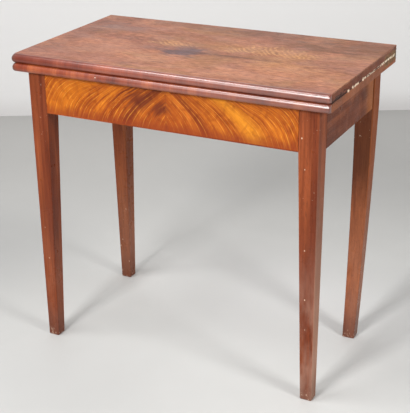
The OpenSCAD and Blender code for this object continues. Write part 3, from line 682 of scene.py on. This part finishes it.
# %% [markdown]
# ## Cross-banded mouldings
# The rounded fronts of both leaves are short lengths of mahogany laid with the grain across the edge,
# so their streaks run up over the curve and not along the table. Handling has kept them glossier than
# the top, and they catch the lamp in one long bright line. A lower roughness would make that line too
# thin, so a coat of varnish over the wood carries it, thinner towards the left end, where the line
# fades in the photograph. The left corner is darker, the right end has a little painted shade, and the
# lower moulding has a nick.

# %% mouldings
MOULDINGS = {  # dim is how dark the left third is
    "upper_moulding": {
        "shift": (1.7, 0.4, 0.2), "dim": 0.7,
        "tones": ((0.120, 0.018, 0.008), (0.235, 0.044, 0.019), (0.35, 0.080, 0.034))},
    "lower_moulding": {
        "shift": (5.3, 2.4, 1.2), "dim": 0.05, "nicks": [(-0.168, -0.2245, 0.7300)],
        "tones": ((0.115, 0.014, 0.005), (0.245, 0.040, 0.012), (0.38, 0.090, 0.026))},
}
BAND_PORE_BROWN, BAND_NICK = (0.05, 0.012, 0.006), (0.80, 0.68, 0.58)
# a darker left third, a darker left corner, and painted shade at the right end
LEFT_RED, LEFT_CORNER_DARK, RIGHT_END_SHADE = (0.105, 0.012, 0.005), (0.075, 0.045, 0.035), (0.130, 0.030, 0.016)


def cross_grain(name, shift, dim, tones, nicks=()):
    f = Finish(name)
    broad = f.noise(f.stretch((22, 5, 5), shift), 3, 0.55)
    streak = f.noise(f.stretch((330, 26, 26), shift), 3, 0.6)
    wood = toned(f, f.blend(broad, 0.68, streak, 0.32), tones)
    pores = f.noise(f.stretch((1500, 110, 110), shift), 1, 0.5)
    open_pores = f.span(pores, 0.62, 0.74)
    wood = f.mix(f.times(open_pores, 0.35), wood, BAND_PORE_BROWN)
    x, _, _ = f.axes()
    wood = f.mix(f.span(x, -0.40, -0.12, dim, 0), wood, LEFT_RED)
    # darker at the left corner
    wood = f.mix(f.span(x, -0.399, -0.385, 0.6, 0), wood, LEFT_CORNER_DARK)
    # painted shade: the body darker towards the right end
    wood = f.mix(f.span(x, -0.10, 0.30, 0, 0.5), wood, RIGHT_END_SHADE)
    for place in nicks:
        wood = f.mix(f.near(place, (0.0022, 0.004, 0.0014), 0.5), wood, BAND_NICK)
    f.surface(wood, f.span(broad, 0.3, 0.7, 0.34, 0.42))
    f.constant("Specular IOR Level", 0.25)
    f.feed(f.shader.inputs["Coat Weight"], f.span(x, -0.40, 0.10, 0.3, 1.0))
    f.constant("Coat IOR", 1.88)
    f.constant("Coat Roughness", 0.32)
    f.relief(streak, 0.4, open_pores, 0.000008)
    return f


for moulding, traits in MOULDINGS.items():
    put_on(cross_grain(moulding + "_wood", **traits), moulding)

# %% [markdown]
# ## Plain woods out of sight
# The inner faces of an old table were never stained. The front rail's core, the inner back rail and
# the glue blocks are pine, and the knuckle-jointed rails are oak, which has coarser pores. Dust and
# air have turned both brown. The mahogany function could take their colours too, but its shellac and
# ribbons would be wrong here, so bare wood has a shorter one, with grime and no gloss.

# %% pine and oak
PINE = ((0.33, 0.19, 0.085), (0.46, 0.28, 0.13), (0.56, 0.36, 0.18))
OAK = ((0.20, 0.11, 0.05), (0.30, 0.175, 0.085), (0.40, 0.25, 0.125))
GRIME_FACTORS = [(0.3, (0.70, 0.66, 0.62)), (0.7, (1.08, 1.08, 1.08))]
BARE_PORE_BROWN = (0.07, 0.035, 0.015)
PINE_PORES, OAK_PORES = 0.15, 0.6


def bare_wood(name, shift, tones, pore_share):
    f = Finish(name)
    bands = f.noise(f.stretch(along("x", 1.2, 60), shift), 3, 0.5, 0.2)
    streak = f.noise(f.stretch(along("x", 12, 420), shift), 3, 0.6)
    grime = f.noise(f.stretch((7, 7, 7), shift), 4, 0.6)
    wood = toned(f, f.blend(bands, 0.65, streak, 0.35), tones)
    wood = f.tinted(wood, grime, GRIME_FACTORS)
    open_pores = f.span(f.noise(f.stretch(along("x", 45, 900), shift), 1, 0.5), 0.62, 0.76)
    wood = f.mix(f.times(open_pores, pore_share), wood, BARE_PORE_BROWN)
    f.surface(wood, f.span(grime, 0.3, 0.7, 0.62, 0.8))
    f.relief(streak, 0.6, open_pores, 0.0002)
    return f


put_on(bare_wood("front_core_pine", (0.4, 1.4, 2.4), PINE, PINE_PORES), "front_rail")
put_on(bare_wood("inner_rail_pine", (3.4, 5.4, 0.4), PINE, PINE_PORES), "inner_back_rail")
put_on(bare_wood("block_pine", (7.4, 2.9, 6.4), PINE, PINE_PORES), "glue_blocks")
put_on(bare_wood("fixed_rail_oak", (2.4, 8.4, 4.4), OAK, OAK_PORES), "fixed_knuckle_rail")
put_on(bare_wood("swing_rail_oak", (9.1, 0.7, 3.3), OAK, OAK_PORES), "swing_rail")

# %% [markdown]
# ## Brass and iron
# The hinges are cast brass, gone brown all over, with a pale cream row where the plates of the two
# leaves meet: rubbed brass under a painted gleam. Screws and pins in the frame are iron with a dark skin.
# One shader for clean metal and one for dirt could be mixed, but stained metal is mostly a change of
# colour and roughness, and one shader does that. The more metallic it is, the more its colour is the
# colour of its reflection, so the dirtiest brass is the least metallic.

# %% metals
# the pale row at the seam: rubbed brass with a painted gleam
SEAM_BRASS_GLEAM = (1.0, 0.87, 0.66)


def old_metal(name, bright, dull, rough_low, rough_high, scale, metal=0.8, seam=False):
    f = Finish(name)
    stain = f.noise(f.stretch((scale, scale, scale)), 5, 0.65)
    fine = f.noise(f.stretch((900, 900, 900)), 2, 0.6)
    colour = f.mix(f.span(stain, 0.36, 0.64), bright, dull)
    if seam:
        _, _, z = f.axes()
        off_seam = f.apart(z, SEAM_Z)
        broken = f.noise(f.stretch((60, 170, 210)), 3, 0.6)
        # a pale cream row at the seam: rubbed brass with a painted gleam
        row = f.times(f.span(off_seam, 0.0018, 0.0036, 1, 0), f.span(broken, 0.47, 0.52))
        colour = f.mix(row, colour, SEAM_BRASS_GLEAM)
    f.surface(colour, f.span(stain, 0.3, 0.7, rough_low, rough_high))
    f.constant("Metallic", metal)
    f.constant("Specular IOR Level", 0.2)
    f.bump(f.blend(stain, 0.6, fine, 0.4), 0.00008)
    return f


put_on(old_metal("end_brass", (0.30, 0.150, 0.060), (0.105, 0.046, 0.024), 0.45, 0.6, 75, 0.15, True),
       "left_lower_hinge_plate", "right_lower_hinge_plate", "left_upper_hinge_plate",
       "right_upper_hinge_plate")
put_on(old_metal("link_brass", (0.30, 0.20, 0.075), (0.110, 0.066, 0.032), 0.38, 0.6, 90),
       "left_hinge_link", "right_hinge_link", "lower_hinge_screws", "upper_hinge_screws")
put_on(old_metal("dark_iron", (0.22, 0.20, 0.18), (0.07, 0.055, 0.045), 0.4, 0.65, 220),
       "leaf_screws", "back_rail_screws", "knuckle_pin", "lower_hinge_pins", "upper_hinge_pins")

# %% [markdown]
# ## Floor and wall
# The table stands on a plain pale grey studio floor in front of a pale wall. A floor that curves up
# into the wall would hide the corner between them, but the photograph shows it, so they are two flat
# sheets. Each is one square of a grid, scaled and turned into place in its mesh.

# %% floor and wall
FLOOR_HALF = 14
WALL_FOOT = Vector((-0.808, 1.656, 0))
WALL_HALF, WALL_HEIGHT = 9, 6


def flat_sheet(name, matrix, half_x, half_y):
    mesh = bpy.data.meshes.new(name)
    b = bmesh.new()
    bmesh.ops.create_grid(b, x_segments=1, y_segments=1, size=1)
    bmesh.ops.scale(b, vec=(half_x, half_y, 1), verts=b.verts)
    bmesh.ops.transform(b, matrix=matrix, verts=b.verts)
    b.to_mesh(mesh)
    b.free()
    sheet = bpy.data.objects.new(name, mesh)
    bpy.context.scene.collection.objects.link(sheet)
    return sheet


floor = flat_sheet("studio_floor", Matrix.Identity(4), FLOOR_HALF, FLOOR_HALF)
level_ahead = Vector((ahead.x, ahead.y, 0)).normalized()
wall_turn = Matrix((level_right, Vector((0, 0, 1)), -level_ahead)).transposed().to_4x4()
wall_place = Matrix.Translation(WALL_FOOT + Vector((0, 0, WALL_HEIGHT / 2)))
wall = flat_sheet("studio_wall", wall_place @ wall_turn, WALL_HALF, WALL_HEIGHT / 2)
print("floor and wall made")

# %% [markdown]
# The floor has painted shade that greys it further off and in three places on the left, and a painted
# lighter patch round the table. The wall has painted shade to the left and at its foot. One flat grey
# for each would be simpler, but the photograph's background changes in tone, and the table is judged
# against it. The back of the wall is transparent, so that a camera behind it still sees the table.

# %% paint of the floor and the wall
FLOOR_STOPS = [(0.3, (0.55, 0.55, 0.535)), (0.7, (0.60, 0.60, 0.585))]
# a painted shade grey far off, a painted light grey round the table, and a painted shade grey in patches
FALLOFF_SHADE_GREY, PAINTED_LIGHT_GREY, PAINTED_SHADE_GREY = (0.41, 0.40, 0.385), (0.76, 0.76, 0.75), (0.36, 0.36, 0.355)
FLOOR_SHADE_PATCHES = [  # place, half width, how much
    ((-0.85, 0.08, 0), (0.60, 0.62, 1), 0.62),
    ((-0.25, -0.45, 0), (0.75, 0.50, 1), 0.34),
    ((-0.40, 1.05, 0), (0.40, 0.50, 1), 0.40),
]
# plain wall grey, then painted shade to the left and at the foot
WALL_GREY, WALL_LEFT_SHADE_GREY, WALL_FOOT_SHADE_GREY = (0.80, 0.79, 0.78), (0.66, 0.65, 0.645), (0.60, 0.58, 0.57)


def floor_paint():
    f = Finish("floor_paint")
    x, y, _ = f.axes()
    paint = f.ramp(f.noise(f.stretch((1.6, 1.6, 1)), 4, 0.6), FLOOR_STOPS)
    # painted shade: greyer further off and to the left
    falloff_shade = f.minus(y, f.times(x, 0.75))
    paint = f.mix(f.span(falloff_shade, -0.5, 2.7, 0, 0.75), paint, FALLOFF_SHADE_GREY)
    # painted light: paler round the table
    painted_light_patch = f.times(f.near((0.15, 0.27, 0), (0.62, 0.45, 1), 1.0), 0.9)
    paint = f.mix(painted_light_patch, paint, PAINTED_LIGHT_GREY)
    # painted shade in three places on the left
    for place, size, amount in FLOOR_SHADE_PATCHES:
        paint = f.mix(f.times(f.near(place, size), amount), paint, PAINTED_SHADE_GREY)
    f.surface(paint, 0.6)
    return f


def wall_paint():
    f = Finish("wall_paint")
    x, _, z = f.axes()
    # painted shade: the wall darker to the left and at its foot
    paint = f.mix(f.span(x, -2.2, 0.8, 0.5, 0), WALL_GREY, WALL_LEFT_SHADE_GREY)
    f.surface(f.mix(f.span(z, 0.0, 0.10, 0.6, 0.0), paint, WALL_FOOT_SHADE_GREY), 0.9)
    clear = f.node("ShaderNodeBsdfTransparent")
    behind = f.node("ShaderNodeNewGeometry").outputs["Backfacing"]
    one_sided = f.node("ShaderNodeMixShader", {
        0: behind, 1: f.shader.outputs["BSDF"], 2: clear.outputs["BSDF"]})
    f.feed(f.output.inputs["Surface"], one_sided.outputs[0])
    return f


for sheet, finish in ((floor, floor_paint()), (wall, wall_paint())):
    sheet.data.materials.append(finish.material)
    print(finish.material.name, "on", sheet.name)

# %% [markdown]
# ## Light
# A sky picture would light the table from everywhere at once and soften the shadows too much. Three
# lamps give the photograph's own shadows, and their places were worked out from those of the feet. One
# is in front and makes the shadows that fall straight back, and a weaker one on the right makes the
# faint ones that fall to the left. A third, up on the left, draws the bright lines along the rounded
# mouldings. A pale grey world fills the rest.

# %% lamps and world
TABLE_MIDDLE = (0, 0, 0.4)
AIR_COLOUR, AIR_STRENGTH = (0.78, 0.785, 0.79, 1), 0.46


def soft_lamp(name, place, aim, width, height, watts):
    data = bpy.data.lights.new(name, "AREA")
    data.shape = "RECTANGLE"
    data.size, data.size_y = width, height
    data.energy = watts
    lamp = bpy.data.objects.new(name, data)
    lamp.location = place
    lamp.rotation_mode = "QUATERNION"
    lamp.rotation_quaternion = (Vector(aim) - Vector(place)).to_track_quat("-Z", "Y")
    bpy.context.scene.collection.objects.link(lamp)
    print(name, "at", place, "with", watts, "W")


soft_lamp("front_lamp", (-0.36, -3.0, 2.3), TABLE_MIDDLE, 0.75, 0.75, 97)
soft_lamp("side_lamp", (2.4, -0.8, 1.7), TABLE_MIDDLE, 0.6, 0.6, 34)
soft_lamp("upper_lamp", (-1.0, -0.95, 3.0), (-0.1, 0, 0.6), 1.2, 0.65, 36)

world = bpy.data.worlds.new("studio_air")
bpy.context.scene.world = world
world.use_nodes = True
air = world.node_tree.nodes["Background"]
air.inputs["Color"].default_value = AIR_COLOUR
air.inputs["Strength"].default_value = AIR_STRENGTH
